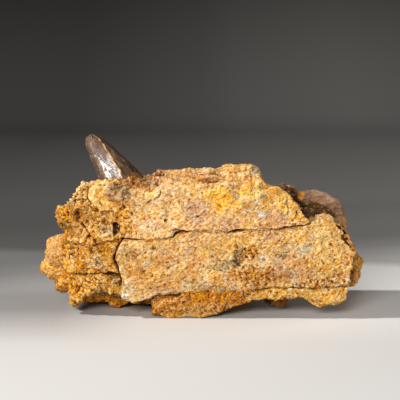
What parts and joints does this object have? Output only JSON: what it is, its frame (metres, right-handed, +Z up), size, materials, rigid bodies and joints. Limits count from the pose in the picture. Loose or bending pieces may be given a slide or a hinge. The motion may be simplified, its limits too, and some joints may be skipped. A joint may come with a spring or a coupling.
{
  "type": "fossil mosasaur jaw",
  "caption": "Loose length of fossil mosasaur jaw in sandy rock: cracked bone walls with rock between them and a dark, glossy, blunt tooth leaning from the top.",
  "frame": {"origin": "on the flat under the foot that the fossil rests on, midway along its length and depth", "axes": "+Z up, +X along the jaw away from the tooth, the near wall with the long crack faces -Y"},
  "size_m": [0.1654, 0.0641, 0.088],
  "materials": {
    "enamel": "polished",
    "crusted_bone": "matte",
    "bare_bone": "matte",
    "sandy_rock": "matte"
  },
  "bodies": {
    "root": {"tooth": "enamel", "outer_jaw_bone": "crusted_bone", "inner_jaw_bone": "bare_bone", "matrix": "sandy_rock"}
  },
  "joints": []
}
